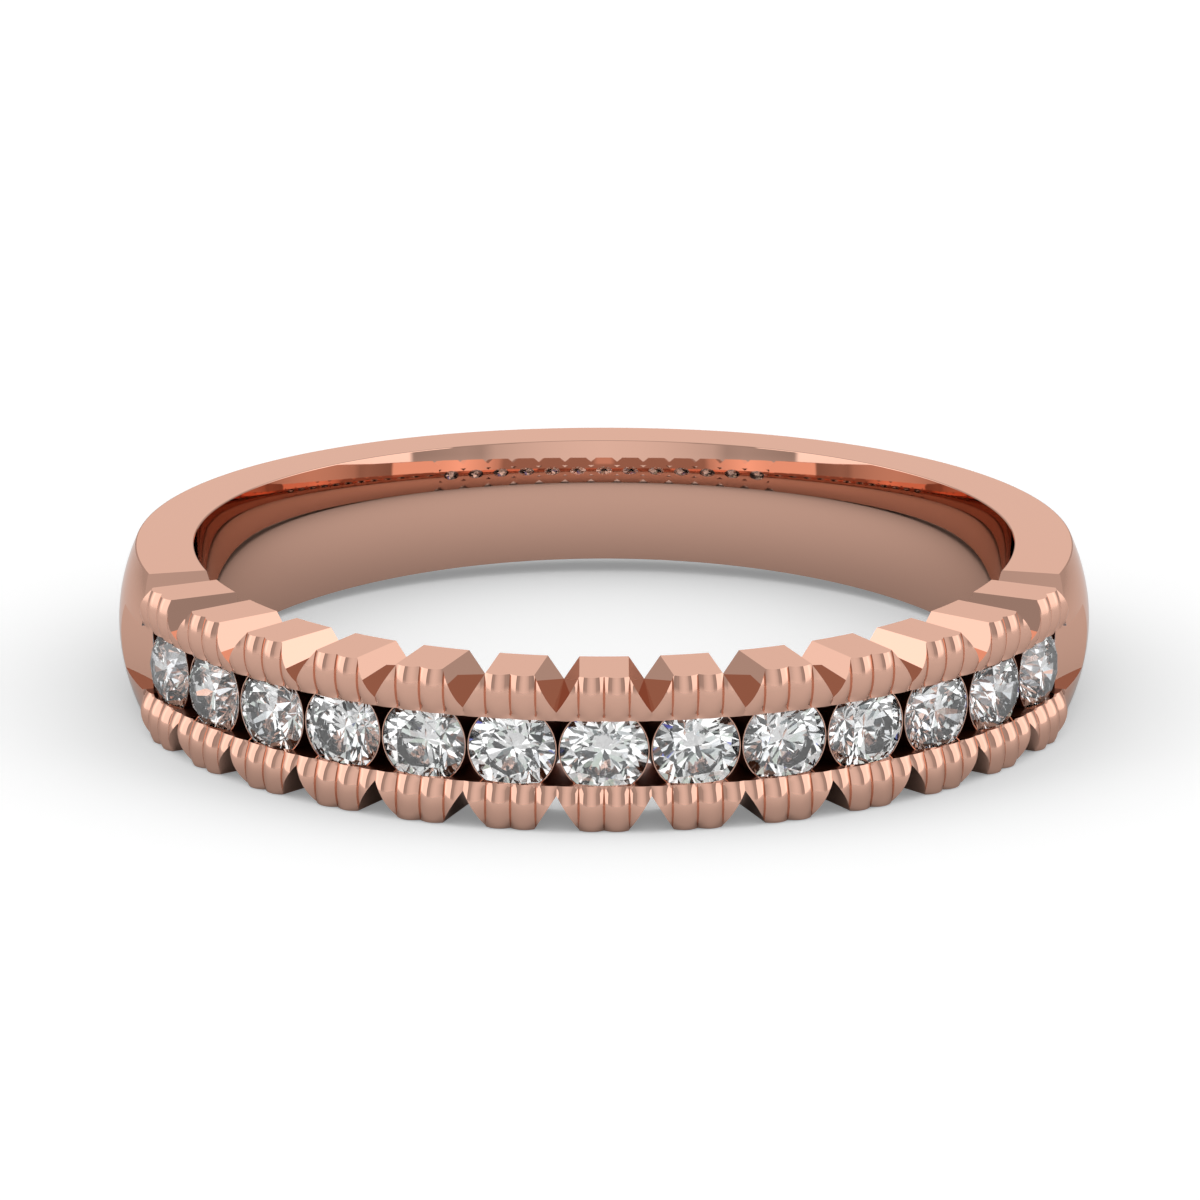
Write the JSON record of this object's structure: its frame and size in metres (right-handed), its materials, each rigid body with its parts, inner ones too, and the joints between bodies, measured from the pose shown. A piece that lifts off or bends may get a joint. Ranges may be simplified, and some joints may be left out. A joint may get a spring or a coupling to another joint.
{
  "type": "wedding band",
  "caption": "Channel-set wedding band: a rose gold casting with V-notched rails that hold a row of round brilliants across its front.",
  "frame": {"origin": "middle of the bounding box's underside: the ring lies on its side with the finger hole upright", "axes": "+Z along the finger axis, the row of stones faces -Y, the back of the shank faces +Y, +X to the right of the row"},
  "size_m": [0.02, 0.0198, 0.0032],
  "materials": {
    "rose_gold": "high polish",
    "diamond": "polished facets"
  },
  "bodies": {
    "root": {"band": "rose_gold", "diamond_01": "diamond", "diamond_02": "diamond", "diamond_03": "diamond", "diamond_04": "diamond", "diamond_05": "diamond", "diamond_06": "diamond", "diamond_07": "diamond", "diamond_08": "diamond", "diamond_09": "diamond", "diamond_10": "diamond", "diamond_11": "diamond", "diamond_12": "diamond", "diamond_13": "diamond"}
  },
  "joints": []
}
